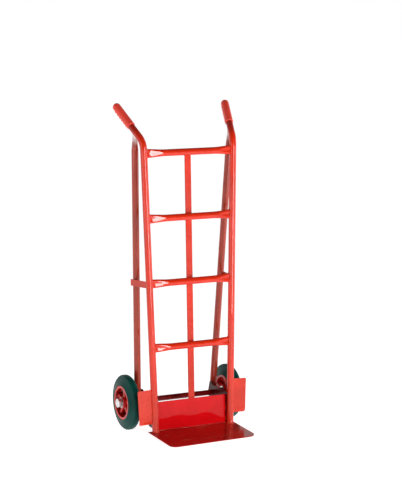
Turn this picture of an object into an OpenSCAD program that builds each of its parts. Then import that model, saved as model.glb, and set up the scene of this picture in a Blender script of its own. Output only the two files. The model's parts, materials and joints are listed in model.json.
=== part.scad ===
// Two-wheeled tubular hand truck (sack truck), all sizes in millimetres.
// X points right, Y points back (away from the load), Z points up, floor at Z = 0.
// The origin is on the floor, midway between the two sides and midway front to back.

/* [Side tubes] */
// outside diameter of every round frame tube
tube_d = 25; // [20:0.5:30]
// wall thickness of every round frame tube
tube_wall = 2; // [1.5:0.1:3]
// distance from the middle plane to the side tube axis at floor level
base_half = 150; // [140:1:165]
// outward lean of each side tube, degrees
flare = 1.5; // [0.5:0.1:2]
// backward lean of the ladder frame, degrees
frame_lean = 2.5; // [1:0.1:4]
// position of the ladder frame front to back at floor level
frame_y = -27.3; // [-40:0.1:-20]
// distance along a side tube to the corner of the handle bend
bend_h = 1052; // [1045:1:1090]
// centre line radius of the handle bend
bend_r = 60; // [50:1:70]
// angle of the handle bend, degrees
bend_angle = 48.9; // [40:0.1:55]
// outward turn of the handle, degrees
handle_splay = 15; // [5:0.5:20]
// handle length from the bend corner to the end of the tube
handle_len = 184; // [175:1:200]

/* [Grips] */
// outside diameter of a grip
grip_d = 29.5; // [27:0.1:33]
// distance from the bend corner to the lower end of a grip
grip_start = 84; // [60:1:100]
// outside diameter of the collar at the lower end of a grip
grip_collar_d = 31.5; // [29:0.5:38]
// width of the collar at the lower end of a grip
grip_collar_w = 4; // [3:0.5:6]
// number of finger ridges under each grip
ridge_count = 6; // [2:1:6]

/* [Cross tubes] */
// height of the lowest cross tube measured up the frame
rung_first = 317; // [300:1:330]
// distance between neighbouring cross tubes
rung_pitch = 231.5; // [225:0.5:232]
// height of the flattened end of a cross tube
rung_end_h = 31; // [26:0.5:34]
// thickness of the flattened end of a cross tube
rung_end_t = 14; // [10:0.5:18]
// length of the flattened end seen beside the side tube
rung_end_len = 10; // [6:1:20]

/* [Centre strap and back plate] */
// width of the flat strap behind the cross tubes
strap_w = 24; // [18:1:40]
// distance from the middle plane to the middle of the strap
strap_x = 2; // [-5:0.5:5]
// thickness of the flat strap
strap_t = 5; // [3:0.5:6]
// height of the top edge of the back plate measured up the frame
back_top = 118; // [100:1:130]
// thickness of the back plate
back_t = 4; // [3:0.5:5]

/* [Toe plate] */
// half the width of the toe plate
toe_half = 172.5; // [160:0.5:190]
// length of the toe plate along its slope
toe_len = 187.6; // [160:0.1:210]
// thickness of the toe plate
toe_t = 3; // [2.5:0.5:5]
// slope of the toe plate, high at the back, degrees
toe_slope = 3.2; // [3:0.1:4]
// turn of the toe plate about its own middle, degrees
toe_turn = 1.5; // [0:0.5:4]
// radius of the left front corner of the toe plate
toe_corner_left = 24; // [10:1:40]
// radius of the right front corner of the toe plate
toe_corner_right = 34; // [10:1:40]

/* [Rear struts] */
// distance from the middle plane to the strut axis at axle height
strut_half = 153.5; // [152:0.5:156]
// distance the strut axis stands behind the frame at axle height
strut_back = 147.4; // [144:0.1:150]
// outward lean of a rear strut, degrees
strut_flare = 2.1; // [1:0.1:2.5]
// forward lean of a rear strut, degrees
strut_lean = 3.23; // [2.5:0.01:4]
// width of the flattened top of a strut
tongue_w = 37; // [30:1:40]
// thickness of the flattened top of a strut
tongue_t = 5; // [4:0.5:6]
// height of the flat brace that ties a strut to a side tube
brace_h = 24; // [18:1:30]
// thickness of the flat brace
brace_t = 4; // [3:0.5:6]
// height of the brace axis measured up the frame
brace_at = 545; // [450:1:620]

/* [Axle and brackets] */
// diameter of the axle
axle_d = 20; // [18:0.5:20]
// distance of the axle behind the frame base line
axle_back = 129; // [125:1:132]
// thickness of an axle bracket
bracket_t = 4; // [3:0.5:5]
// width of an axle nut across its flats
nut_af = 30; // [28:1:32]
// thickness of an axle nut
nut_t = 14; // [10:0.5:16]
// outside diameter of the washers on the axle
washer_d = 36; // [32:1:40]
// thickness of the washers on the axle
washer_t = 2.5; // [2:0.5:3]

/* [Wheels] */
// outside diameter of a wheel
wheel_d = 200; // [196:1:204]
// distance from the middle plane to the middle of a wheel
wheel_half = 206; // [204:0.5:210]
// width of a tyre where it meets the rim
tyre_w = 46; // [40:1:48]
// diameter of the rim lip
rim_d = 122.5; // [110:0.5:130]
// inward slope of the tyre side walls, degrees
side_slope = 18.8; // [14:0.2:22]
// radius of the tyre shoulders
shoulder_r = 7.6; // [5:0.1:9]
// number of spokes in a wheel centre
spokes = 5; // [4:1:6]
// outside diameter of the wheel hub
hub_d = 42; // [38:1:50]

/* [Wheel guards] */
// width of a wheel guard
guard_w = 49.5; // [40:0.5:55]
// height of the lower edge of the left wheel guard measured up the tube
guard_low = 43; // [40:1:60]
// how much higher the right wheel guard sits
guard_step = 7; // [0:1:10]
// height of a wheel guard
guard_h = 126; // [100:1:140]
// outward turn of a wheel guard on its tube, degrees
guard_turn = 1; // [0:0.5:3]
// thickness of a wheel guard
guard_t = 3; // [2:0.5:4]
// height of the lip bent back along the lower edge of a guard
guard_lip = 12; // [8:1:20]

/* [Hidden] */
$fn = 64;
// gap left where one part of the frame is cut to the shape of another
fit_gap = 0.05;
// length that carries a cutting shape safely past the part it cuts
past = 5;
tube_r = tube_d / 2;
bore_r = tube_r - tube_wall;
wheel_r = wheel_d / 2;
axle_r = axle_d / 2;
axle_y = frame_y + axle_back;
// length of bent tube between the bend corner and the start of a straight part
bend_tan = bend_r * tan(bend_angle / 2);
// the straight parts run this far into the bend, which is thicker by the swell all round
bend_lap = 0.6;
bend_swell = 0.1;
grip_r = grip_d / 2;
ridge_r = 2.2;
ridge_arc = 150;
ridge_first = 12;
ridge_pitch = 14.5;
rung_top = rung_first + 3 * rung_pitch;
// distance between the frame plane and the front of the strap and back plate
rear_face = tube_r + 0.3;
// the strap ends this far above the axis of the top cross tube
strap_rise = 7;
// inner and outer face of an axle bracket
bracket_in = base_half - tube_r + 1.5;
bracket_out = bracket_in + bracket_t;
// corners of an axle bracket: distance behind the frame base line, height
bracket_outline = [
    [4, 6], [58, 5], [75, 18.5], [140, 74], [152, 84], [157, 94],
    [157, 98], [149, 124], [144, 139], [132, 140], [120, 130], [4, 127]
];
toe_rear = frame_y + rear_face + back_t;
toe_front = toe_rear - toe_len * cos(toe_slope);
// strut: heights at which the round tube and the flattened top begin and end
strut_low = 116;
strut_high = 1046;
tongue_lap = 8;
tongue_high = 1096;
brace_turn = 9;
brace_reach = 92;
// rim of a wheel centre
rim_r = rim_d / 2;
rim_seat_r = rim_r - 3;
rim_wall = 2.2;
lip_t = 2.5;
tyre_half = tyre_w / 2;
lip_out = tyre_half - 0.6;
lip_in = lip_out - lip_t;
// tyre shoulder: centre of its round edge and where it meets the side wall
side_run = (wheel_r - shoulder_r - rim_r + shoulder_r * sin(side_slope)) / cos(side_slope);
shoulder_z = tyre_half - side_run * sin(side_slope) - shoulder_r * cos(side_slope);
meet_r = rim_r + side_run * cos(side_slope);
meet_z = tyre_half - side_run * sin(side_slope);
bead_r = 1.1;
spoke_w = 14;
spoke_low = -9;
spoke_high = 12;
// running clearance between the axle and a bush
run_gap = 0.08;
bush_wall = 3;
bush_r = axle_r + run_gap + bush_wall;
hub_half = 20.5;
spoke_from = bush_r + 2;
// the spoke corners stop just short of the ring
spoke_to = sqrt(pow(rim_seat_r - rim_wall - fit_gap, 2) - pow(spoke_w / 2, 2));
// stack along the axle outside the hub
side_play = 0.4;
washer_in = wheel_half - hub_half - side_play - washer_t;
washer_out = wheel_half + hub_half + side_play;
nut_in = washer_out + washer_t;
nut_bevel = 1.5;
axle_half = nut_in + nut_t + 1;
axle_bevel = 1.5;
spacer_r = axle_r + 4;
guard_reach = tube_r + guard_w;
guard_lip_angle = 22;
guard_corner = 5;
paint = [0.80, 0.07, 0.05];
zinc = [0.80, 0.80, 0.78];
rubber = [0.0, 0.30, 0.25];

// ---------------------------------------------------------------- placing

// shows a right hand part, or its mirror image on the left
module on_side(left) {
    if (left) {
        mirror([1, 0, 0]) children();
    } else {
        children();
    }
}

// ladder frame: children are drawn upright and lean back with the frame
module on_frame() {
    translate([0, frame_y, 0]) rotate([-frame_lean, 0, 0]) children();
}

// right side tube: children are drawn along its axis, starting at floor level
module on_side_tube() {
    on_frame() translate([base_half, 0, 0]) rotate([0, flare, 0]) children();
}

// right handle: children are drawn along its axis, starting at the bend corner
module on_handle() {
    on_side_tube() translate([0, 0, bend_h])
        rotate([0, 0, -handle_splay]) rotate([-bend_angle, 0, 0]) children();
}

// right rear strut: children are drawn along its axis, starting at floor level
module on_strut() {
    translate([strut_half, frame_y + strut_back, wheel_r])
        rotate([strut_lean, strut_flare, 0]) translate([0, 0, -wheel_r]) children();
}

// axle line: children are drawn around their own Z axis, which points right
module on_axle(along = 0) {
    translate([along, axle_y, wheel_r]) rotate([0, 90, 0]) children();
}

// outline drawn as distance behind the frame base line and height, given a thickness in X
module side_sheet(from_x, thickness) {
    translate([from_x, frame_y, 0]) rotate([90, 0, 90]) linear_extrude(thickness) children();
}

// ---------------------------------------------------------------- shared outlines and cuts

// flat bar outline with round ends, long way along X
module round_bar(long, thick) {
    square([long - thick, thick], center = true);
    for (side = [-1, 1]) {
        translate([side * (long - thick) / 2, 0]) circle(d = thick);
    }
}

// rectangle outline with round corners, lower left corner at the origin
module round_rect(wide, high, r) {
    translate([r, 0]) square([wide - 2 * r, high]);
    translate([0, r]) square([wide, high - 2 * r]);
    for (x = [r, wide - r], y = [r, high - r]) {
        translate([x, y]) circle(r = r);
    }
}

// ring of rectangular section around the Z axis
module sleeve(inner_r, outer_r, from_z, to_z) {
    difference() {
        translate([0, 0, from_z]) cylinder(r = outer_r, h = to_z - from_z);
        translate([0, 0, from_z - past]) cylinder(r = inner_r, h = to_z - from_z + 2 * past);
    }
}

// everything below the upper face of the toe plate
module below_toe_plate() {
    translate([0, toe_front, 0]) rotate([toe_slope, 0, 0])
        translate([-250, -50, -100]) cube([500, 400, 100 + toe_t + fit_gap]);
}

// right side tube drawn as a solid rod of radius r, with its handle
module tube_rod(r, handle_end) {
    on_side_tube() translate([0, 0, -past])
        cylinder(r = r, h = bend_h - bend_tan + past + bend_lap);
    on_side_tube() rotate([0, 0, -handle_splay]) translate([0, bend_r, bend_h - bend_tan])
        rotate([90, 0, -90]) rotate_extrude(angle = bend_angle)
            translate([bend_r, 0]) circle(r = r + bend_swell);
    on_handle() translate([0, 0, bend_tan - bend_lap])
        cylinder(r = r, h = handle_end - bend_tan + bend_lap);
}

// both side tubes as solids, used to cut the parts welded to them
module both_tubes_cut() {
    for (left = [false, true]) {
        on_side(left) tube_rod(tube_r + fit_gap, handle_len);
    }
}

// ---------------------------------------------------------------- ladder frame

module side_tube() {
    color(paint) difference() {
        tube_rod(tube_r, handle_len);
        tube_rod(bore_r, handle_len + past);
        below_toe_plate();
    }
}

module left_side_tube() {
    on_side(true) side_tube();
}

module right_side_tube() {
    on_side(false) side_tube();
}

// round tube with flattened ends, reduced on every side by inset
module rung_form(half, inset) {
    rotate([0, 90, 0]) cylinder(r = tube_r - inset, h = 2 * half, center = true);
    for (side = [-1, 1]) {
        translate([side * half, 0, 0]) rotate([0, -90 * side, 0])
            linear_extrude(tube_r + rung_end_len)
                round_bar(rung_end_h - 2 * inset, rung_end_t - 2 * inset);
    }
}

// cross tube number n, counted from the top
module cross_tube(n) {
    at = rung_top - (n - 1) * rung_pitch;
    half = base_half + at * tan(flare);
    color(paint) difference() {
        on_frame() translate([0, 0, at]) rung_form(half, 0);
        on_frame() translate([0, 0, at]) rung_form(half + past, tube_wall);
        both_tubes_cut();
    }
}

module cross_tube_1() {
    cross_tube(1);
}

module cross_tube_2() {
    cross_tube(2);
}

module cross_tube_3() {
    cross_tube(3);
}

module cross_tube_4() {
    cross_tube(4);
}

module centre_strap() {
    low = back_top + fit_gap;
    color(paint) on_frame() translate([strap_x - strap_w / 2, rear_face, low])
        cube([strap_w, strap_t, rung_top + strap_rise - low]);
}

module back_plate() {
    half = bracket_in - fit_gap;
    color(paint) difference() {
        on_frame() translate([-half, rear_face, 0]) cube([2 * half, back_t, back_top]);
        below_toe_plate();
    }
}

module toe_plate() {
    color([0.55, 0.05, 0.04]) translate([0, toe_front, 0]) rotate([toe_slope, 0, 0])
        translate([0, toe_len / 2, 0]) rotate(toe_turn) translate([0, -toe_len / 2, 0])
            linear_extrude(toe_t) {
                toe_outline_half(toe_corner_right);
                mirror([1, 0]) toe_outline_half(toe_corner_left);
            }
}

// right half of the toe plate outline with a front corner of radius r
module toe_outline_half(r) {
    translate([-past, r]) square([toe_half + past, toe_len - r]);
    translate([-past, 0]) square([toe_half - r + past, toe_len]);
    translate([toe_half - r, r]) circle(r = r);
}

// ---------------------------------------------------------------- rear frame

// round tube cut flat against the axle bracket and pressed flat at the top
module rear_strut() {
    color(paint) difference() {
        union() {
            on_strut() sleeve(bore_r, tube_r, strut_low, strut_high);
            on_strut() translate([0, 0, strut_high - tongue_lap])
                linear_extrude(tongue_high - strut_high + tongue_lap)
                    rotate(90) round_bar(tongue_w, tongue_t);
        }
        tube_rod(tube_r + fit_gap, handle_len);
        on_handle() translate([-50, -100, 0]) cube([100, 100, handle_len]);
        side_sheet(0, bracket_out + fit_gap) square([300, 300]);
    }
}

module left_rear_strut() {
    on_side(true) rear_strut();
}

module right_rear_strut() {
    on_side(false) rear_strut();
}

// flat bar from the back of a side tube to the outside of the strut
module brace() {
    rise = brace_at - wheel_r;
    strut_x = strut_half + rise * tan(strut_flare);
    strut_y = strut_back - rise * tan(strut_lean) - brace_at * tan(frame_lean);
    color(paint) difference() {
        on_frame() translate([strut_x, strut_y, brace_at]) rotate([0, 0, -brace_turn])
            translate([tube_r + 0.5, -brace_reach, -brace_h / 2])
                cube([brace_t, brace_reach + tube_r, brace_h]);
        both_tubes_cut();
    }
}

module left_brace() {
    on_side(true) brace();
}

module right_brace() {
    on_side(false) brace();
}

// plate that joins the foot of a side tube to the axle
module axle_bracket() {
    color(paint) difference() {
        side_sheet(bracket_in, bracket_t) polygon(bracket_outline);
        both_tubes_cut();
        below_toe_plate();
        on_axle() cylinder(r = axle_r + fit_gap, h = wheel_half);
    }
}

module left_axle_bracket() {
    on_side(true) axle_bracket();
}

module right_axle_bracket() {
    on_side(false) axle_bracket();
}

// plate in front of a wheel, its lower edge, at height low, bent back
module wheel_guard(low) {
    flat_h = guard_h - guard_lip;
    color(paint) difference() {
        on_side_tube() translate([0, 0, low + guard_lip]) rotate([0, guard_turn, 0]) {
            rotate([90, 0, 0]) translate([0, 0, -guard_t / 2]) linear_extrude(guard_t) {
                square([guard_reach, flat_h - guard_corner]);
                translate([0, guard_corner])
                    round_rect(guard_reach, flat_h - guard_corner, guard_corner);
            }
            rotate([0, 90, 0]) cylinder(d = guard_t, h = guard_reach);
            rotate([90 + guard_lip_angle, 0, 0]) translate([0, -guard_lip, -guard_t / 2])
                linear_extrude(guard_t) {
                    translate([0, guard_corner]) square([guard_reach, guard_lip - guard_corner]);
                    round_rect(guard_reach, guard_lip, guard_corner);
                }
        }
        tube_rod(tube_r + fit_gap, bend_tan + past);
        on_frame() translate([0, -100, 0]) cube([base_half, 200, 300]);
    }
}

module left_wheel_guard() {
    on_side(true) wheel_guard(guard_low);
}

module right_wheel_guard() {
    on_side(false) wheel_guard(guard_low + guard_step);
}

// ---------------------------------------------------------------- grips

// closed sleeve over the end of a handle, with a collar and finger ridges below
module grip() {
    color(paint) on_handle() difference() {
        union() {
            translate([0, 0, grip_start]) cylinder(r = grip_r, h = handle_len - grip_start);
            translate([0, 0, grip_start]) cylinder(d = grip_collar_d, h = grip_collar_w);
            translate([0, 0, handle_len]) sphere(r = grip_r);
            for (i = [0:ridge_count - 1]) {
                translate([0, 0, grip_start + ridge_first + i * ridge_pitch])
                    rotate_extrude(angle = ridge_arc, start = 90 - ridge_arc / 2)
                        translate([grip_r, 0]) circle(r = ridge_r);
            }
        }
        translate([0, 0, grip_start - past])
            cylinder(r = tube_r + fit_gap, h = handle_len + fit_gap - grip_start + past);
    }
}

module left_grip() {
    on_side(true) grip();
}

module right_grip() {
    on_side(false) grip();
}

// ---------------------------------------------------------------- axle

// round bar with bevelled ends
module axle() {
    color(paint) on_axle() {
        cylinder(r = axle_r, h = 2 * (axle_half - axle_bevel), center = true);
        for (side = [0, 180]) {
            rotate([side, 0, 0]) translate([0, 0, axle_half - axle_bevel])
                cylinder(r1 = axle_r, r2 = axle_r - axle_bevel, h = axle_bevel);
        }
    }
}

module spacer() {
    color(paint) on_axle()
        sleeve(axle_r + fit_gap, spacer_r, bracket_out + fit_gap, washer_in - fit_gap);
}

module left_spacer() {
    on_side(true) spacer();
}

module right_spacer() {
    on_side(false) spacer();
}

// one washer on each side of the wheel
module washers() {
    for (at = [washer_in, washer_out]) {
        color(zinc) on_axle(at) sleeve(axle_r + fit_gap, washer_d / 2, 0, washer_t);
    }
}

module left_washers() {
    on_side(true) washers();
}

module right_washers() {
    on_side(false) washers();
}

// hexagon nut with both faces bevelled
module axle_nut() {
    corner_r = nut_af / 2 / cos(30);
    flat_r = nut_af / 2 - 0.3;
    color(zinc) on_axle(nut_in) difference() {
        intersection() {
            cylinder(r = corner_r, h = nut_t, $fn = 6);
            rotate_extrude() polygon([
                [0, 0], [flat_r, 0], [corner_r + 0.1, nut_bevel],
                [corner_r + 0.1, nut_t - nut_bevel], [flat_r, nut_t], [0, nut_t]
            ]);
        }
        translate([0, 0, -past]) cylinder(r = axle_r + fit_gap, h = nut_t + 2 * past);
    }
}

module left_axle_nut() {
    on_side(true) axle_nut();
}

module right_axle_nut() {
    on_side(false) axle_nut();
}

// ---------------------------------------------------------------- wheels

// solid rubber tyre with sloping side walls and a bead on each shoulder
module tyre() {
    color(rubber) on_axle(wheel_half) rotate_extrude() {
        polygon([
            [rim_seat_r + fit_gap, -lip_in + fit_gap], [rim_r, -lip_in + fit_gap],
            [rim_r, -tyre_half], [meet_r, -meet_z],
            [wheel_r - shoulder_r, -shoulder_z], [wheel_r, -shoulder_z],
            [wheel_r, shoulder_z], [wheel_r - shoulder_r, shoulder_z],
            [meet_r, meet_z], [rim_r, tyre_half],
            [rim_r, lip_in - fit_gap], [rim_seat_r + fit_gap, lip_in - fit_gap]
        ]);
        for (side = [-1, 1]) {
            translate([wheel_r - shoulder_r, side * shoulder_z]) circle(r = shoulder_r);
            translate([meet_r, side * meet_z]) circle(r = bead_r);
        }
    }
}

module left_tyre() {
    on_side(true) tyre();
}

module right_tyre() {
    on_side(false) tyre();
}

// ring with a lip on each side of the tyre
module rim() {
    color(paint) on_axle(wheel_half) rotate_extrude() {
        translate([rim_seat_r - rim_wall, -lip_out]) square([rim_wall, 2 * lip_out]);
        for (from = [-lip_out, lip_in]) {
            translate([rim_seat_r - rim_wall, from])
                square([rim_r - fit_gap - rim_seat_r + rim_wall, lip_t]);
        }
    }
}

module left_rim() {
    on_side(true) rim();
}

module right_rim() {
    on_side(false) rim();
}

// hub and spokes
module wheel_centre() {
    color(paint) on_axle(wheel_half) difference() {
        union() {
            cylinder(d = hub_d, h = 2 * hub_half, center = true);
            for (i = [0:spokes - 1]) {
                rotate([0, 0, 180 + i * 360 / spokes])
                    translate([spoke_from, -spoke_w / 2, spoke_low])
                        cube([spoke_to - spoke_from, spoke_w, spoke_high - spoke_low]);
            }
        }
        cylinder(r = bush_r + fit_gap, h = 3 * hub_half, center = true);
    }
}

module left_wheel_centre() {
    on_side(true) wheel_centre();
}

module right_wheel_centre() {
    on_side(false) wheel_centre();
}

// plain bearing pressed into the hub
module bush() {
    color([0.65, 0.50, 0.30]) on_axle(wheel_half)
        sleeve(axle_r + run_gap, bush_r, -hub_half, hub_half);
}

module left_bush() {
    on_side(true) bush();
}

module right_bush() {
    on_side(false) bush();
}

// ---------------------------------------------------------------- drawing

left_side_tube();
right_side_tube();
cross_tube_1();
cross_tube_2();
cross_tube_3();
cross_tube_4();
centre_strap();
back_plate();
toe_plate();
left_rear_strut();
right_rear_strut();
left_brace();
right_brace();
left_axle_bracket();
right_axle_bracket();
left_wheel_guard();
right_wheel_guard();
left_grip();
right_grip();
axle();
left_spacer();
right_spacer();
left_washers();
right_washers();
left_axle_nut();
right_axle_nut();
left_tyre();
right_tyre();
left_rim();
right_rim();
left_wheel_centre();
right_wheel_centre();
left_bush();
right_bush();
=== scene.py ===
import bmesh
import bpy
import json
import math
import random
from mathutils import Matrix, Vector


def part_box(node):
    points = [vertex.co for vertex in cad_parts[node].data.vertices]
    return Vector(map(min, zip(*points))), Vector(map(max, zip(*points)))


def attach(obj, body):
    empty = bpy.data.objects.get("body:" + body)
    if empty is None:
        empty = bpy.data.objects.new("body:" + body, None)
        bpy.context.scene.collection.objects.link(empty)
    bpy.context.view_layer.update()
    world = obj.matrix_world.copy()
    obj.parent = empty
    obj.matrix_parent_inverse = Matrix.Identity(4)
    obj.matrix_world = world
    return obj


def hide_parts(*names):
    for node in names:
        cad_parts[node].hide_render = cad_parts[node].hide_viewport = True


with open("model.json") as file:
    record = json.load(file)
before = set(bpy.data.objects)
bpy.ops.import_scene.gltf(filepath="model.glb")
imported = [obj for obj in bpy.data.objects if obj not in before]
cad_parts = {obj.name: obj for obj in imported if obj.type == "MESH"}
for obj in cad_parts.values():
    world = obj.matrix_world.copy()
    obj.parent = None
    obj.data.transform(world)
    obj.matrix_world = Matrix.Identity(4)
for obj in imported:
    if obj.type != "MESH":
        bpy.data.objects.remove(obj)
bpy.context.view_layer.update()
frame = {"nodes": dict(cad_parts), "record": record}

# ---------------------------------------------------------------- sizes, metres and degrees

TUBE_R = 0.0125
BASE_HALF = 0.150
FLARE = 1.5
FRAME_LEAN = 2.5
FRAME_Y = -0.0273
BEND_H = 1.052
BEND_ANGLE = 48.9
HANDLE_SPLAY = 15
HANDLE_LEN = 0.184

GRIP_START = 0.084
GRIP_R = 0.01475
GRIP_COLLAR_R = 0.01525
GRIP_COLLAR_W = 0.004
RIDGE_COUNT = 6
RIDGE_FIRST = 0.012
RIDGE_PITCH = 0.0145
RIDGE_H = 0.0021

RUNG_FIRST = 0.317
RUNG_PITCH = 0.2315
RUNG_END_T = 0.0135
RUNG_PINCH_FROM = 0.014
RUNG_PINCH_TO = 0.078
RUNG_GROOVE = 0.0024

STRUT_HALF = 0.1535
STRUT_BACK = 0.1474
STRUT_FLARE = 2.1
STRUT_LEAN = 3.23
STRUT_LOW = 0.1165
STRUT_ROUND_TO = 1.015
STRUT_FLAT_FROM = 1.062
STRUT_TOP = 1.092
STRUT_FLAT_T = 0.005

STRAP_X = 0.002
STRAP_W = 0.024
REAR_FACE = TUBE_R + 0.0003
BACK_TOP = 0.118

AXLE_R = 0.010
WHEEL_R = 0.100
WHEEL_HALF = 0.206
TYRE_HALF = 0.023
RIM_R = 0.06125
RIM_SEAT_R = 0.05825
SIDE_SLOPE = 18.8
SHOULDER_R = 0.0076
HUB_R = 0.021
HUB_HALF = 0.0205
SPOKES = 5
NUT_IN = 0.2294

GUARD_LOW = 0.043
GUARD_STEP = 0.007

SPOKE_W = 0.0165
SPOKE_DEPTH = 0.0200
SPOKE_SHIFT = 0.0030

WELD_SIDES = 10
WELD_SINK = 0.0004
RUNG_WELD_R = 0.0021
FOOT_WELD_R = 0.0022
FOOT_WELD_H = 0.0122
BRACKET_WELD_R = 0.0018
GUARD_WELD_R = 0.0019
STRUT_WELD_R = 0.0019
STRAP_WELD_R = 0.0016
STRAP_FOOT_WELD_R = 0.0024
SEAM_WELD_R = 0.0013
SEAM_HALF = 0.134
# stretches of weld, measured up from the foot of the frame or from the lower edge of a guard
BRACKET_WELDS = ((0.016, 0.040), (0.060, 0.082), (0.096, 0.114))
GUARD_WELDS = ((0.022, 0.036), (0.098, 0.114))

# faces this many times larger than their neighbour keep a sharp edge, so that they stay flat
FLAT_RATIO = 25
# points around a round section
ROUND = 48

AXLE_Y = (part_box("left_tyre")[0].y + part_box("left_tyre")[1].y) / 2
RUNG_TOP = RUNG_FIRST + 3 * RUNG_PITCH

# ---------------------------------------------------------------- placing


def turn(axis, degrees):
    return Matrix.Rotation(math.radians(degrees), 4, axis)


def move(x, y, z):
    return Matrix.Translation((x, y, z))


ON_FRAME = move(0, FRAME_Y, 0) @ turn("X", -FRAME_LEAN)
ON_TUBE = ON_FRAME @ move(BASE_HALF, 0, 0) @ turn("Y", FLARE)
ON_HANDLE = ON_TUBE @ move(0, 0, BEND_H) @ turn("Z", -HANDLE_SPLAY) @ turn("X", -BEND_ANGLE)
ON_STRUT = (move(STRUT_HALF, FRAME_Y + STRUT_BACK, WHEEL_R) @ turn("Y", STRUT_FLARE)
            @ turn("X", STRUT_LEAN) @ move(0, 0, -WHEEL_R))
ON_AXLE = move(0, AXLE_Y, WHEEL_R)
MIRROR = Matrix.Scale(-1, 4, (1, 0, 0))
SIDES = {"left": MIRROR, "right": Matrix.Identity(4)}


def mix(a, b, k):
    return a + (b - a) * k


def smooth(k):
    k = min(max(k, 0.0), 1.0)
    return k * k * (3 - 2 * k)


# ---------------------------------------------------------------- materials

PRIMER = (0.10, 0.035, 0.03)
SCUFFED = (0.34, 0.12, 0.08)
# near-black colour of the painted shade in hollows
HOLLOW_SHADE = (0.035, 0.001, 0.001)

class Nodes:
    """Short way to add and link shader nodes in one material."""

    def __init__(self, name):
        self.mat = bpy.data.materials.new(name)
        self.mat.use_nodes = True
        self.tree = self.mat.node_tree
        self.shader = self.tree.nodes["Principled BSDF"]
        self.coords = self.add("ShaderNodeTexCoord").outputs["Object"]

    def add(self, kind, **settings):
        node = self.tree.nodes.new(kind)
        for key, value in settings.items():
            if hasattr(node, key):
                setattr(node, key, value)
            else:
                node.inputs[key.replace("_", " ")].default_value = value
        return node

    def link(self, out, into):
        self.tree.links.new(out, into)

    def noise(self, scale, detail=4.0, rough=0.55, stretch=None, distort=0.0):
        node = self.add("ShaderNodeTexNoise", Scale=scale, Detail=detail, Roughness=rough,
                        Distortion=distort)
        if stretch:
            m = self.add("ShaderNodeMapping")
            m.inputs["Scale"].default_value = stretch
            self.link(self.coords, m.inputs["Vector"])
            self.link(m.outputs[0], node.inputs["Vector"])
        else:
            self.link(self.coords, node.inputs["Vector"])
        return node.outputs["Fac"]

    def ramp(self, value, low, high, out_low=0.0, out_high=1.0):
        node = self.add("ShaderNodeMapRange")
        for key, v in (("From Min", low), ("From Max", high), ("To Min", out_low), ("To Max", out_high)):
            node.inputs[key].default_value = v
        self.link(value, node.inputs["Value"])
        return node.outputs["Result"]

    def math(self, op, a, b):
        node = self.add("ShaderNodeMath", operation=op)
        for socket, v in ((0, a), (1, b)):
            if isinstance(v, (int, float)):
                node.inputs[socket].default_value = v
            else:
                self.link(v, node.inputs[socket])
        return node.outputs[0]

    def blend(self, factor, a, b):
        node = self.add("ShaderNodeMix", data_type="RGBA")
        self.link(factor, node.inputs["Factor"])
        for socket, v in ((6, a), (7, b)):
            if isinstance(v, tuple):
                node.inputs[socket].default_value = (*v, 1)
            else:
                self.link(v, node.inputs[socket])
        return node.outputs[2]

    def edges(self, radius, low=0.02, high=0.12):
        """1 on sharp edges, 0 on flat faces."""
        bevel = self.add("ShaderNodeBevel", samples=6)
        bevel.inputs["Radius"].default_value = radius
        geo = self.add("ShaderNodeNewGeometry")
        dot = self.add("ShaderNodeVectorMath", operation="DOT_PRODUCT")
        self.link(bevel.outputs[0], dot.inputs[0])
        self.link(geo.outputs["Normal"], dot.inputs[1])
        return self.ramp(self.math("SUBTRACT", 1.0, dot.outputs["Value"]), low, high)

    def bump(self, height, strength, distance, below=None):
        node = self.add("ShaderNodeBump", Strength=strength, Distance=distance)
        self.link(height, node.inputs["Height"])
        if below is not None:
            self.link(below, node.inputs["Normal"])
        return node.outputs["Normal"]

    def finish(self, color, rough, normal, **values):
        self.link(color, self.shader.inputs["Base Color"])
        self.link(rough, self.shader.inputs["Roughness"])
        self.link(normal, self.shader.inputs["Normal"])
        for key, v in values.items():
            self.shader.inputs[key.replace("_", " ")].default_value = v
        return self.mat


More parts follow.
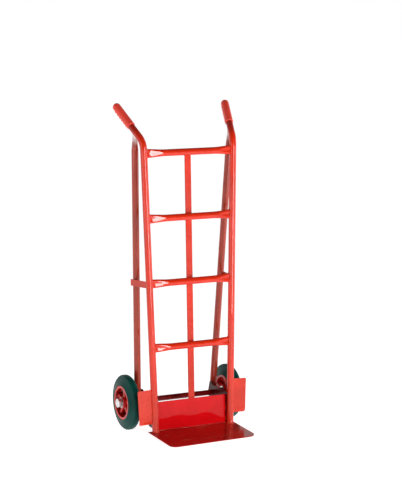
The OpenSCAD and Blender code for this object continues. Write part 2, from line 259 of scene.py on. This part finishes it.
def enamel(name, color, gloss=0.045, chips=0.25, scuffs=0.0, peel=0.05, seed=0.0, painted_light_band=None, waves=0.0,
           shine=0.5, painted_shade=0.0):
    """Glossy paint over steel: soft colour drift, orange peel, dark chips on the edges, scuffs.

    A band of heights can be tinted with painted shade or a painted highlight, waves bows the reflections of
    a sheet, and painted shade can darken the hollows.
    """
    n = Nodes(name)
    deep = tuple(c * 0.80 for c in color)
    warm = (min(color[0] * 1.05, 1.0), color[1] * 1.4 + 0.003, color[2] * 1.3 + 0.001)
    drift = n.ramp(n.noise(5.0 + seed, 3.0), 0.35, 0.68)
    shade = n.blend(drift, deep, color)
    shade = n.blend(n.ramp(n.noise(23.0 + seed, 5.0), 0.5, 0.85, 0.0, 0.35), shade, warm)
    wear_noise = n.noise(95.0 + seed, 6.0, 0.65)
    edge = n.edges(0.0016)
    worn = n.math("MULTIPLY", edge, n.ramp(wear_noise, 0.62 - chips * 0.25, 0.70 - chips * 0.2))
    shade = n.blend(n.math("MULTIPLY", worn, 0.75), shade, PRIMER)
    # painted light: a band of heights is tinted towards a given tone, darker for painted shade, pale for a
    # painted highlight
    if painted_light_band:
        low, high, tone, share = painted_light_band
        height = n.add("ShaderNodeSeparateXYZ")
        n.link(n.coords, height.inputs[0])
        grain = n.ramp(n.noise(130.0, 5.0, 0.7), 0.35, 0.65, -0.010, 0.010)
        level = n.ramp(n.math("ADD", height.outputs["Z"], grain), low, high, 0.0, share)
        shade = n.blend(level, shade, tone)
    specks = n.ramp(n.noise(210.0 + seed, 2.0), 0.74, 0.78)
    shade = n.blend(n.math("MULTIPLY", specks, 0.5), shade, tuple(c * 0.35 for c in color))
    rough = n.ramp(n.noise(14.0 + seed, 6.0, 0.6), 0.3, 0.75, gloss * 0.7, gloss * 1.9)
    if scuffs:
        long_marks = n.noise(26.0 + seed, 6.0, 0.7, stretch=(0.35, 3.2, 3.2), distort=0.6)
        fine_marks = n.noise(150.0, 3.0, 0.6, stretch=(0.25, 2.4, 2.4), distort=0.3)
        marks = n.math("MAXIMUM", n.ramp(long_marks, 0.56, 0.72), n.ramp(fine_marks, 0.66, 0.76, 0.0, 0.6))
        marks = n.math("MULTIPLY", marks, scuffs)
        shade = n.blend(marks, shade, SCUFFED)
        rough = n.math("ADD", rough, n.math("MULTIPLY", marks, 0.22))
    rough = n.math("ADD", rough, n.math("MULTIPLY", worn, 0.3))
    ripple = n.bump(n.noise(42.0 + seed, 2.0), peel, 0.0012)
    normal = n.bump(n.noise(420.0, 2.0), peel * 0.8, 0.0003, ripple)
    normal = n.bump(n.math("SUBTRACT", 1.0, worn), 0.25, 0.0002, normal)
    if waves:
        height = n.add("ShaderNodeSeparateXYZ")
        n.link(n.coords, height.inputs[0])
        bow = n.math("MULTIPLY", height.outputs["Z"], 15.0)
        normal = n.bump(n.math("ADD", bow, n.noise(9.0, 1.0)), 1.0, waves, normal)
    # painted shade: the colour darkens towards near black where ambient occlusion finds a hollow
    if painted_shade:
        occlusion = n.add("ShaderNodeAmbientOcclusion", samples=6)
        occlusion.inputs["Distance"].default_value = 0.035
        depth = n.ramp(occlusion.outputs["AO"], 0.25, 0.85, painted_shade, 0.0)
        shade = n.blend(depth, shade, HOLLOW_SHADE)
    return n.finish(shade, rough, normal, Specular_IOR_Level=shine)


def zinc(name, color=(0.86, 0.87, 0.86), seed=0.0):
    """Zinc plating with a faint spangle and bright edges."""
    n = Nodes(name)
    tone = n.blend(n.ramp(n.noise(60.0 + seed, 5.0), 0.3, 0.7), tuple(c * 0.86 for c in color), color)
    spangle = n.ramp(n.noise(240.0, 3.0), 0.62, 0.74, 0.0, 0.35)
    tone = n.blend(spangle, tone, (0.55, 0.56, 0.54))
    edge = n.edges(0.001)
    tone = n.blend(n.math("MULTIPLY", edge, 0.5), tone, (0.97, 0.97, 0.96))
    rough = n.ramp(n.noise(90.0 + seed, 5.0), 0.3, 0.7, 0.26, 0.42)
    normal = n.bump(n.noise(300.0, 3.0), 0.12, 0.0003)
    return n.finish(tone, rough, normal, Metallic=0.9)


def rubber(name):
    """Dark green solid rubber, a little dusty and lighter on its edges."""
    n = Nodes(name)
    dark, light = (0.0002, 0.036, 0.028), (0.0005, 0.068, 0.052)
    tone = n.blend(n.ramp(n.noise(16.0, 5.0), 0.3, 0.72), dark, light)
    dust = n.ramp(n.noise(70.0, 6.0, 0.7), 0.5, 0.78, 0.0, 0.12)
    tone = n.blend(dust, tone, (0.05, 0.16, 0.13))
    edge = n.edges(0.0012, 0.03, 0.2)
    tone = n.blend(n.math("MULTIPLY", edge, 0.5), tone, (0.10, 0.28, 0.22))
    rough = n.ramp(n.noise(34.0, 5.0), 0.3, 0.7, 0.34, 0.48)
    fine = n.bump(n.noise(330.0, 4.0, 0.7), 0.16, 0.0004)
    normal = n.bump(n.noise(48.0, 4.0), 0.10, 0.0009, fine)
    return n.finish(tone, rough, normal, Specular_IOR_Level=0.10)


def moulded(name, color):
    """Soft shiny plastic with a fine moulded grain and a little dirt in random patches."""
    n = Nodes(name)
    tone = n.blend(n.ramp(n.noise(12.0, 4.0), 0.3, 0.7), tuple(c * 0.8 for c in color), color)
    dirt = n.ramp(n.noise(80.0, 6.0, 0.7), 0.56, 0.75, 0.0, 0.3)
    tone = n.blend(dirt, tone, (0.30, 0.03, 0.02))
    edge = n.edges(0.0014)
    tone = n.blend(n.math("MULTIPLY", edge, 0.35), tone, (0.95, 0.22, 0.16))
    rough = n.ramp(n.noise(40.0, 5.0), 0.3, 0.7, 0.24, 0.40)
    grain = n.bump(n.noise(520.0, 3.0, 0.7), 0.22, 0.0004)
    return n.finish(tone, rough, grain, Specular_IOR_Level=0.5)


def bronze(name):
    n = Nodes(name)
    tone = n.blend(n.ramp(n.noise(90.0, 5.0), 0.3, 0.7), (0.40, 0.24, 0.10), (0.62, 0.42, 0.20))
    rough = n.ramp(n.noise(120.0, 5.0), 0.3, 0.7, 0.28, 0.45)
    return n.finish(tone, rough, n.bump(n.noise(400.0, 3.0), 0.15, 0.0003), Metallic=1.0)


RED = (0.72, 0.026, 0.005)
# painted light bands: lower and upper height in metres, tone, and how much of it shows
# painted shade darkens the handle tubes between the bend and the grips
HANDLE_SHADE_ZONE = (1.070, 1.098, (0.30, 0.012, 0.006), 0.75)
# painted highlight: a pale tone whitens the flattened strut tops, standing in for their glare
STRUT_TOP_HIGHLIGHT_ZONE = (1.040, 1.066, (0.88, 0.80, 0.76), 0.92)
MATERIALS = {
    "side_tube_paint": enamel("side_tube_enamel_handle_shade", RED, seed=0.3, painted_light_band=HANDLE_SHADE_ZONE),
    "cross_tube_paint": enamel("cross_tube_enamel", RED, seed=1.1),
    "strap_paint": enamel("strap_enamel", (0.68, 0.034, 0.014), gloss=0.24, seed=2.2, shine=0.25),
    "back_plate_paint": enamel("back_plate_enamel", (0.77, 0.0030, 0.006), gloss=0.035, seed=3.1, peel=0.03,
                               waves=0.0030, shine=0.25),
    # darker red than the upright parts: painted shade for a flat face that gets little light from above;
    # the scuff marks are wear
    "toe_plate_paint": enamel("toe_plate_shaded_enamel", (0.48, 0.012, 0.008), gloss=0.10, scuffs=0.8, seed=4.4,
                              peel=0.09, chips=0.5),
    # darker red than the side tubes, with the painted highlight band on the flattened tops
    "strut_paint": enamel("strut_enamel_top_highlight", (0.47, 0.050, 0.024), seed=5.2, painted_light_band=STRUT_TOP_HIGHLIGHT_ZONE),
    # near-black red: painted shade for the wheel brackets, which sit in shadow behind the tubes
    "bracket_paint": enamel("bracket_shaded_enamel", (0.085, 0.003, 0.003), gloss=0.2, seed=6.6, shine=0.15),
    "guard_paint": enamel("guard_enamel", (0.73, 0.040, 0.020), gloss=0.26, seed=7.3, shine=0.3),
    "grip_plastic": moulded("grip_plastic", (0.98, 0.070, 0.042)),
    # dark red: painted shade for the axle, which lies in shadow behind the plates
    "axle_paint": enamel("axle_shaded_enamel", (0.17, 0.003, 0.003), gloss=0.16, seed=8.5, shine=0.3),
    "washer_zinc": zinc("washer_zinc", (0.70, 0.70, 0.69), 2.0),
    "nut_zinc": zinc("nut_zinc"),
    "tyre_rubber": rubber("tyre_rubber"),
    # the wheel centre gets painted shade in the hollows between its spokes
    "wheel_centre_paint": enamel("wheel_centre_enamel_hollow_shade", (0.74, 0.018, 0.014), gloss=0.12, seed=9.4,
                                 painted_shade=0.95),
    "bush_bronze": bronze("bush_bronze"),
}
SLOT_OF = {part["node"]: part["material_slot"] for part in frame["record"]["subparts"]}
for node, ob in frame["nodes"].items():
    for place in ob.material_slots:
        place.material = MATERIALS[SLOT_OF[node]]

# ---------------------------------------------------------------- mesh work


def piece(name, bm, body, slot, sharp=32.0, replaces=()):
    """Turns a bmesh into a shown piece that rides on a body."""
    bmesh.ops.recalc_face_normals(bm, faces=bm.faces[:])
    for face in bm.faces:
        face.smooth = True
    for edge in bm.edges:
        if len(edge.link_faces) == 2:
            small, large = sorted(face.calc_area() for face in edge.link_faces)
            edge.smooth = math.degrees(edge.calc_face_angle(0)) < sharp and large < FLAT_RATIO * small
    mesh = bpy.data.meshes.new(name)
    bm.to_mesh(mesh)
    bm.free()
    mesh.materials.append(MATERIALS[slot])
    ob = bpy.data.objects.new(name, mesh)
    bpy.context.scene.collection.objects.link(ob)
    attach(ob, body)
    if replaces:
        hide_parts(*replaces)
    return ob


def loft(bm, rings, closed=False):
    """Skins rings of points, with a fan at each end unless the rings close on themselves."""
    rows = [[bm.verts.new(p) for p in ring] for ring in rings]
    n = len(rows[0])
    pairs = list(zip(rows, rows[1:])) + ([(rows[-1], rows[0])] if closed else [])
    for a, b in pairs:
        for i in range(n):
            j = (i + 1) % n
            bm.faces.new((a[i], a[j], b[j], b[i]))
    if not closed:
        for row in (rows[0], rows[-1]):
            middle = bm.verts.new(sum((v.co for v in row), Vector()) / n)
            for i in range(n):
                bm.faces.new((row[i], row[(i + 1) % n], middle))


def revolve(bm, outline, place, steps=144, shape=None):
    """Spins a closed outline of (along, radius) around X."""
    rings = []
    for k in range(steps):
        a = 2 * math.pi * k / steps
        ring = []
        for along, radius in outline:
            r = shape(along, radius, a) if shape else radius
            ring.append(place @ Vector((along, r * math.cos(a), r * math.sin(a))))
        rings.append(ring)
    loft(bm, rings, closed=True)


def circle(r, count=ROUND):
    """Pairs (r cos, r sin) around a circle."""
    angles = [2 * math.pi * k / count for k in range(count)]
    return [(r * math.cos(a), r * math.sin(a)) for a in angles]


def arc(cx, cy, r, start, end, steps):
    return [(cx + r * math.cos(math.radians(mix(start, end, k / steps))),
             cy + r * math.sin(math.radians(mix(start, end, k / steps)))) for k in range(steps + 1)]


def stadium(wide, thick, count=40):
    """Points around a flat oval: wide along the first axis, thick along the second."""
    r = thick / 2
    run = max(wide / 2 - r, 0.0)
    points = []
    for k in range(count):
        a = 2 * math.pi * (k + 0.5) / count
        c, s = math.cos(a), math.sin(a)
        points.append((r * c + math.copysign(run, c) * smooth(min(abs(c) * 4.0, 1.0)), r * s))
    return points


def soft_copy(node, width=0.0007, sharp=40.0, keep=None):
    """Copies a CAD node's flat-sided mesh with small rounded edges."""
    bm = bmesh.new()
    bm.from_mesh(frame["nodes"][node].data)
    bmesh.ops.remove_doubles(bm, verts=bm.verts[:], dist=1e-6)
    bmesh.ops.dissolve_limit(bm, angle_limit=math.radians(1.5), verts=bm.verts[:], edges=bm.edges[:])
    edges = [e for e in bm.edges if len(e.link_faces) == 2 and math.degrees(e.calc_face_angle(0)) > sharp
             and (keep is None or keep(e))]
    bmesh.ops.bevel(bm, geom=edges, offset=width, segments=2, profile=0.5, affect="EDGES",
                    clamp_overlap=False)
    return bm


def bead(bm, path, r, closed=False, seed=0):
    """A weld bead: a lumpy, half sunk rope along a path of points."""
    rng = random.Random(seed)
    points = [Vector(p) for p in path]
    fine = []
    count = len(points)
    last = count if closed else count - 1
    for i in range(last):
        a, b = points[i], points[(i + 1) % count]
        steps = max(1, int((b - a).length / (r * 0.45)))
        fine += [a.lerp(b, k / steps) for k in range(steps)]
    if not closed:
        fine.append(points[-1])
    rings = []
    total = len(fine)
    travelled = 0.0
    for i, p in enumerate(fine):
        before = fine[i - 1] if (i or closed) else p
        after = fine[(i + 1) % total] if (i < total - 1 or closed) else p
        way = (after - before).normalized()
        travelled += (p - before).length
        side = way.orthogonal().normalized()
        up = way.cross(side)
        size = r * (1 + 0.20 * math.sin(travelled / (r * 0.85)) + rng.uniform(-0.08, 0.08))
        if not closed:
            ends = min(i, total - 1 - i) * 0.45
            size *= math.sqrt(min(1.0, 0.25 + ends * 0.75))
        p = p + side * rng.uniform(-0.12, 0.12) * r
        rings.append([p + side * u + up * v for u, v in circle(size, WELD_SIDES)])
    loft(bm, rings, closed=closed)


# ---------------------------------------------------------------- cross tubes


def rung_half(at):
    return BASE_HALF + at * math.tan(math.radians(FLARE))


def rung_ring(x, from_axis, at):
    """Section of a cross tube: round in the middle, pinched flat and grooved by the side tube."""
    pinch = 1 - smooth((from_axis - RUNG_PINCH_FROM) / (RUNG_PINCH_TO - RUNG_PINCH_FROM))
    thick = mix(2 * TUBE_R, RUNG_END_T, pinch)
    wide = math.pi * (2 * TUBE_R - thick) / 2 + thick
    ring = []
    for up, out in stadium(wide, thick, ROUND):
        groove = RUNG_GROOVE * pinch ** 1.4 * math.exp(-(up / 0.0062) ** 2)
        out = math.copysign(max(abs(out) - groove, 0.0008), out)
        ring.append(ON_FRAME @ Vector((x, out, at + up)))
    return ring


for number in range(1, 5):
    at = RUNG_TOP - (number - 1) * RUNG_PITCH
    half = rung_half(at)
    name = f"cross_tube_{number}"
    bm = bmesh.new()
    steps = [0.0085 + 0.0028 * k for k in range(26)] + [half]
    rings = [rung_ring(-half + s, s, at) for s in steps]
    rings += [rung_ring(half - s, s, at) for s in steps[-2::-1]]
    loft(bm, rings)
    piece(name + "_pinched", bm, "frame", "cross_tube_paint", replaces=(name,))
    bm = bmesh.new()
    for side in (-1, 1):
        path = []
        for k in range(28):
            a = 2 * math.pi * k / 28
            up = 0.0157 * math.cos(a)
            out = 0.0074 * math.sin(a)
            reach = math.sqrt(TUBE_R ** 2 - out ** 2) + 0.0002
            tube_x = BASE_HALF + (at + up) * math.tan(math.radians(FLARE))
            path.append(ON_FRAME @ Vector((side * (tube_x - reach), out, at + up)))
        bead(bm, path, RUNG_WELD_R, closed=True, seed=number * 2 + side)
    piece(name + "_welds", bm, "frame", "cross_tube_paint", sharp=70)

# ---------------------------------------------------------------- rear struts


def strut_ring(z):
    flat = smooth((z - STRUT_ROUND_TO) / (STRUT_FLAT_FROM - STRUT_ROUND_TO))
    thick = mix(2 * TUBE_R, STRUT_FLAT_T, flat)
    wide = math.pi * (2 * TUBE_R - thick) / 2 + thick
    return [Vector((out, up, z)) for up, out in stadium(wide, thick, 40)]


for side, flip in SIDES.items():
    bm = bmesh.new()
    heights = [STRUT_LOW, 0.3, 0.6, 0.9, 1.0]
    heights += [STRUT_ROUND_TO + 0.003 * k for k in range(17)] + [STRUT_TOP]
    loft(bm, [[flip @ ON_STRUT @ p for p in strut_ring(z)] for z in heights])
    piece(side + "_strut_flattened", bm, "frame", "strut_paint", replaces=(side + "_rear_strut",))

# ---------------------------------------------------------------- flat steel parts

for node, slot, width in (("centre_strap", "strap_paint", 0.0009),
                          ("back_plate", "back_plate_paint", 0.0008),
                          ("toe_plate", "toe_plate_paint", 0.0011)):
    piece(node + "_rounded", soft_copy(node, width), "frame", slot, replaces=(node,))


def clear_of_tube(edge):
    """True for edges that are not hidden against a side tube."""
    inverse = ON_TUBE.inverted()
    for v in edge.verts:
        p = inverse @ Vector((abs(v.co.x), v.co.y, v.co.z))
        if math.hypot(p.x, p.y) < TUBE_R + 0.0012:
            return False
    return True


for side in SIDES:
    for part, slot in (("wheel_guard", "guard_paint"), ("brace", "side_tube_paint")):
        node = f"{side}_{part}"
        bm = soft_copy(node, 0.0007, keep=clear_of_tube)
        piece(node + "_rounded", bm, "frame", slot, replaces=(node,))

# ---------------------------------------------------------------- grips


def grip_ring(z):
    """Section of a grip at distance z along the handle, finger ridges on its underside."""
    start, end = GRIP_START, HANDLE_LEN
    ring = []
    for k in range(ROUND):
        a = 2 * math.pi * k / ROUND
        under = smooth((math.cos(a - math.pi / 2) + 0.35) / 1.0)
        r = GRIP_R
        if z < start + GRIP_COLLAR_W:
            r = GRIP_COLLAR_R
        for i in range(RIDGE_COUNT):
            d = (z - start - RIDGE_FIRST - i * RIDGE_PITCH) / 0.0036
            r += RIDGE_H * under * math.exp(-d * d)
        if z > end:
            r = math.sqrt(max(GRIP_R ** 2 - (z - end) ** 2, 0.0))
        ring.append(Vector((r * math.cos(a), r * math.sin(a), z)))
    return ring


for side, flip in SIDES.items():
    bm = bmesh.new()
    s = GRIP_START
    c = GRIP_COLLAR_W
    inner = [Vector((x, y, s - 0.0002)) for x, y in circle(TUBE_R)]
    heights = [s, s + 0.0006, s + c - 0.0006, s + c, s + c + 0.0005]
    heights += [s + c + 0.0012 * k for k in range(1, 80) if s + c + 0.0012 * k < HANDLE_LEN]
    heights += [HANDLE_LEN + GRIP_R * math.sin(math.radians(a)) for a in range(0, 90, 9)]
    rings = [inner]
    for z in heights:
        ring = grip_ring(z)
        if z == s:
            ring = [Vector((p.x * 0.965, p.y * 0.965, p.z)) for p in ring]
        rings.append(ring)
    loft(bm, [[flip @ ON_HANDLE @ p for p in ring] for ring in rings])
    piece(side + "_grip_ridged", bm, "frame", "grip_plastic", sharp=50, replaces=(side + "_grip",))

# ---------------------------------------------------------------- wheels


def tyre_outline():
    """Closed outline (along, radius): sloping side walls, round shoulders, moulding line, bead seat."""
    t = math.radians(SIDE_SLOPE)
    run = (WHEEL_R - SHOULDER_R - RIM_R + SHOULDER_R * math.sin(t)) / math.cos(t)
    sz = TYRE_HALF - run * math.sin(t) - SHOULDER_R * math.cos(t)
    half = []
    seat = TYRE_HALF - 0.0033
    half += [(seat, RIM_SEAT_R), (seat, RIM_R + 0.0004), (TYRE_HALF - 0.0009, RIM_R + 0.0003)]
    half += arc(TYRE_HALF - 0.0016, RIM_R + 0.0018, 0.0015, 0, 70, 4)
    wall_from = Vector((TYRE_HALF - 0.0011, RIM_R + 0.0034))
    wall_to = Vector((sz + SHOULDER_R * math.cos(t), WHEEL_R - SHOULDER_R + SHOULDER_R * math.sin(t)))
    for k in range(1, 8):
        p = wall_from.lerp(wall_to, k / 8)
        sag = -0.0007 * math.sin(math.pi * k / 8)
        half.append((p.x + sag, p.y))
    x, r = wall_to.x, wall_to.y
    half += [(x - 0.0002, r - 0.0012), (x + 0.0009, r - 0.0007),
             (x + 0.0010, r + 0.0004), (x - 0.0003, r + 0.0010)]
    half += arc(sz, WHEEL_R - SHOULDER_R, SHOULDER_R, SIDE_SLOPE + 14, 84, 9)
    half += [(sz * 0.5, WHEEL_R - 0.00002)]
    other = [(-x, r) for x, r in reversed(half)]
    return half + other


def rim_outline():
    """Closed outline of the rim: rolled lips and a shallow well."""
    lip = TYRE_HALF - 0.0008
    r_in = RIM_SEAT_R - 0.0030
    half = [(0.0, r_in), (lip - 0.0052, r_in)]
    half += arc(lip - 0.0026, r_in + 0.0002, 0.0026, -90, 0, 4)[1:]
    half += [(lip, RIM_R - 0.0012)]
    half += arc(lip - 0.0010, RIM_R - 0.0011, 0.0010, 10, 90, 4)
    half += [(lip - 0.0024, RIM_R - 0.0003), (lip - 0.0024, RIM_SEAT_R - 0.0001),
             (0.0, RIM_SEAT_R - 0.0001)]
    other = [(-x, r) for x, r in reversed(half)][1:-1]
    return half + other


def hub_outline():
    bore = 0.0132
    half = [(HUB_HALF, bore), (HUB_HALF, HUB_R - 0.0022)]
    half += arc(HUB_HALF - 0.0022, HUB_R - 0.0022, 0.0022, 10, 90, 4)
    half += [(HUB_HALF - 0.004, HUB_R + 0.0001), (0.012, HUB_R + 0.0012), (0.004, HUB_R + 0.0030)]
    return half + [(-x, r) for x, r in reversed(half)]


def spoke_rings(angle):
    """A tapered spoke with round edges, deep at the hub and flaring into the rim."""
    rings = []
    for k in range(15):
        f = k / 14
        r = mix(HUB_R - 0.002, RIM_SEAT_R - 0.0022, f)
        flare = (1 - smooth(f / 0.3)) * 0.0035 + smooth((f - 0.65) / 0.35) * 0.0045
        wide = SPOKE_W + flare * 1.2
        deep = SPOKE_DEPTH + flare * 0.9
        ring = []
        for u, v in stadium(deep, min(wide, deep - 0.0005), 28):
            ring.append(turn("X", angle) @ Vector((SPOKE_SHIFT + u, v, r)))
        rings.append(ring)
    return rings


for side, flip in SIDES.items():
    place = flip @ move(WHEEL_HALF, 0, 0) @ ON_AXLE
    body = side + "_wheel"
    bm = bmesh.new()
    revolve(bm, tyre_outline(), place, 160)
    piece(side + "_tyre_moulded", bm, body, "tyre_rubber", sharp=38, replaces=(side + "_tyre",))
    bm = bmesh.new()
    revolve(bm, rim_outline(), place, 160)
    piece(side + "_rim_rolled", bm, body, "wheel_centre_paint", sharp=50, replaces=(side + "_rim",))
    bm = bmesh.new()
    revolve(bm, hub_outline(), place, 96)
    for i in range(SPOKES):
        loft(bm, [[place @ p for p in ring] for ring in spoke_rings(i * 360 / SPOKES)])
    piece(side + "_spoked_centre", bm, body, "wheel_centre_paint", sharp=50,
          replaces=(side + "_wheel_centre",))

# ---------------------------------------------------------------- axle


def thread_outline(start, end):
    """Closed outline of a threaded end, drawn as fine ridges, with a bevelled tip and a centre dimple."""
    points = [(start, 0.0005)]
    points.append((start, AXLE_R - 0.0010))
    z = start + 0.0008
    while z < end - 0.0020:
        points += [(z, AXLE_R - 0.0001), (z + 0.0009, AXLE_R - 0.0010)]
        z += 0.0018
    points += [(end - 0.0012, AXLE_R - 0.0008), (end, AXLE_R - 0.0024), (end, 0.0028),
               (end - 0.0022, 0.0005)]
    return points


AXLE_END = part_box("axle")[1].x
THREAD_FROM = NUT_IN - 0.002
bm = bmesh.new()
rings = []
for x, r in ((-THREAD_FROM, AXLE_R - 0.0006), (-THREAD_FROM + 0.0006, AXLE_R), (-0.12, AXLE_R),
             (0.0, AXLE_R), (0.12, AXLE_R), (THREAD_FROM - 0.0006, AXLE_R),
             (THREAD_FROM, AXLE_R - 0.0006)):
    rings.append([ON_AXLE @ Vector((x, y, z)) for y, z in circle(r)])
loft(bm, rings)
piece("axle_bar", bm, "frame", "axle_paint", replaces=("axle",))
for side, flip in SIDES.items():
    bm = bmesh.new()
    revolve(bm, thread_outline(THREAD_FROM + 0.0002, AXLE_END), flip @ ON_AXLE, 64)
    piece(side + "_axle_thread", bm, "frame", "nut_zinc", sharp=40)

# ---------------------------------------------------------------- weld beads


def on_foot(angle, r, h):
    return ON_TUBE @ Vector((r * math.cos(angle), r * math.sin(angle), h))


for side, flip in SIDES.items():
    bm = bmesh.new()
    angles = [2 * math.pi * k / 24 for k in range(24)]
    foot = [flip @ on_foot(a, TUBE_R + 0.0006, FOOT_WELD_H + 0.0007 * math.sin(a)) for a in angles]
    bead(bm, foot, FOOT_WELD_R, closed=True, seed=31)
    for low, high in BRACKET_WELDS:
        x = BASE_HALF - TUBE_R + 0.0016
        path = []
        for h in (low, (low + high) / 2, high):
            out = x + h * math.tan(math.radians(FLARE)) - 0.0010
            path.append(flip @ ON_FRAME @ Vector((out, REAR_FACE - 0.0010, h)))
        bead(bm, path, BRACKET_WELD_R, seed=int(low * 1000))
    step = GUARD_STEP if side == "right" else 0.0
    for low, high in GUARD_WELDS:
        path = [flip @ ON_TUBE @ Vector((TUBE_R + 0.0008, -0.0020, GUARD_LOW + step + h))
                for h in (low, (low + high) / 2, high)]
        bead(bm, path, GUARD_WELD_R, seed=int(low * 5000))
    piece(side + "_foot_welds", bm, "frame", "side_tube_paint", sharp=70)

    bm = bmesh.new()
    path = []
    for k in range(13):
        y = mix(-0.0185, 0.0185, k / 12)
        for z in (1.03 + 0.0005 * i for i in range(140)):
            q = ON_STRUT @ Vector((0.0028, y, z))
            local = ON_HANDLE.inverted() @ q
            if local.z > -0.02 and math.hypot(local.x, local.y) < TUBE_R + 0.0008:
                path.append(flip @ q)
                break
    if len(path) > 2:
        bead(bm, path, STRUT_WELD_R, seed=77)
    piece(side + "_strut_top_weld", bm, "frame", "strut_paint", sharp=70)

bm = bmesh.new()
for number in range(4):
    at = RUNG_TOP - number * RUNG_PITCH
    for edge in (-1, 1):
        x = STRAP_X + edge * (STRAP_W / 2 + WELD_SINK)
        path = [ON_FRAME @ Vector((x, REAR_FACE - WELD_SINK, at + dz)) for dz in (-0.006, 0.0, 0.006)]
        bead(bm, path, STRAP_WELD_R, seed=number * 3 + edge)
low, high = STRAP_X - 0.011, STRAP_X + 0.011
path = [ON_FRAME @ Vector((mix(low, high, k / 6), REAR_FACE - 0.0002, BACK_TOP + 0.0006)) for k in range(7)]
bead(bm, path, STRAP_FOOT_WELD_R, seed=91)
piece("strap_welds", bm, "frame", "strap_paint", sharp=70)

bm = bmesh.new()
back_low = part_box("back_plate")[0].z
path = [ON_FRAME @ Vector((mix(-SEAM_HALF, SEAM_HALF, k / 60), REAR_FACE - WELD_SINK, back_low + WELD_SINK))
        for k in range(61)]
bead(bm, path, SEAM_WELD_R, seed=500)
piece("toe_plate_welds", bm, "frame", "toe_plate_paint", sharp=70)

# ---------------------------------------------------------------- floor, light and camera

FLOOR_HALF = 30
FLOOR_GLOW = 0.85
AIM = (0, 0, 0.7)
# softboxes: place, size in metres, power in watts
SOFTBOXES = {
    "key": ((0.50, -3.36, 1.00), (0.80, 1.9), 77),
    "side_left": ((-3.6, -0.6, 1.1), (1.2, 2.0), 16),
    "side_right": ((3.4, -1.2, 1.1), (0.7, 2.0), 16),
}
AZIMUTH = -26.88
ELEVATION = 9.122
ROLL = 0.271
DISTANCE = 6.138
TARGET = Vector((0.0277, FRAME_Y, 0.6612))
LENS = 123.86
SENSOR = 36.0

mesh = bpy.data.meshes.new("floor")
corners = [(x * FLOOR_HALF, y * FLOOR_HALF, 0) for x, y in ((-1, -1), (1, -1), (1, 1), (-1, 1))]
mesh.from_pydata(corners, [], [(0, 1, 2, 3)])
floor = bpy.data.objects.new("floor", mesh)
bpy.context.scene.collection.objects.link(floor)
n = Nodes("floor_paper")
paper = n.blend(n.ramp(n.noise(2.0), 0.3, 0.7), (0.90, 0.90, 0.895), (0.93, 0.93, 0.925))
white = n.finish(paper, n.ramp(n.noise(8.0), 0.3, 0.7, 0.65, 0.8), n.bump(n.noise(300.0), 0.05, 0.0002),
                 Specular_IOR_Level=0.05)
n.shader.inputs["Emission Color"].default_value = (1, 1, 1, 1)
n.shader.inputs["Emission Strength"].default_value = FLOOR_GLOW
mesh.materials.append(white)

# The backdrop is white to the camera. As a light it is dim in front and overhead, bright behind.
world = bpy.data.worlds.new("studio")
world.use_nodes = True
tree = world.node_tree
sky = tree.nodes["Background"]


def world_node(kind, *sources, operation=None):
    """Adds a world node and links the sources to its first inputs."""
    node = tree.nodes.new(kind)
    if operation:
        node.operation = operation
    for socket, source in enumerate(sources):
        tree.links.new(source, node.inputs[socket])
    return node


def world_ramp(source, from_min, from_max, to_min, to_max):
    node = world_node("ShaderNodeMapRange", source)
    node.inputs["From Min"].default_value = from_min
    node.inputs["From Max"].default_value = from_max
    node.inputs["To Min"].default_value = to_min
    node.inputs["To Max"].default_value = to_max
    return node.outputs[0]


coords = world_node("ShaderNodeTexCoord")
split = world_node("ShaderNodeSeparateXYZ", coords.outputs["Generated"])
fade = world_ramp(split.outputs["Y"], -0.30, 0.30, 0.16, 0.95)
dusk = world_ramp(split.outputs["Z"], 0.15, 0.75, 1.0, 0.12)
dome = world_node("ShaderNodeMath", fade, dusk, operation="MULTIPLY")
ray = world_node("ShaderNodeLightPath")
pick = world_node("ShaderNodeMath", ray.outputs["Is Camera Ray"], dome.outputs[0], operation="MAXIMUM")
tree.links.new(pick.outputs[0], sky.inputs["Strength"])
sky.inputs["Color"].default_value = (1, 1, 1, 1)
bpy.context.scene.world = world


def softbox(name, position, size, power):
    light = bpy.data.lights.new(name, "AREA")
    light.shape = "RECTANGLE"
    light.size, light.size_y = size
    light.energy = power
    ob = bpy.data.objects.new(name, light)
    ob.matrix_world = (Matrix.Translation(position)
                       @ (Vector(AIM) - Vector(position)).to_track_quat("-Z", "Y").to_matrix().to_4x4())
    bpy.context.scene.collection.objects.link(ob)


for name, (position, size, power) in SOFTBOXES.items():
    softbox(name, position, size, power)

azimuth, elevation = math.radians(AZIMUTH), math.radians(ELEVATION)
away = Vector((math.sin(azimuth) * math.cos(elevation), -math.cos(azimuth) * math.cos(elevation),
               math.sin(elevation)))
camera = bpy.data.cameras.new("camera")
camera.lens = LENS
camera.sensor_width = SENSOR
camera.clip_end = 60.0
eye = bpy.data.objects.new("camera", camera)
eye.matrix_world = (Matrix.Translation(TARGET + away * DISTANCE)
                    @ (-away).to_track_quat("-Z", "Y").to_matrix().to_4x4() @ turn("Z", ROLL))
bpy.context.scene.collection.objects.link(eye)
bpy.context.scene.camera = eye
bpy.context.scene.view_settings.view_transform = "Standard"
bpy.context.scene.view_settings.look = "None"
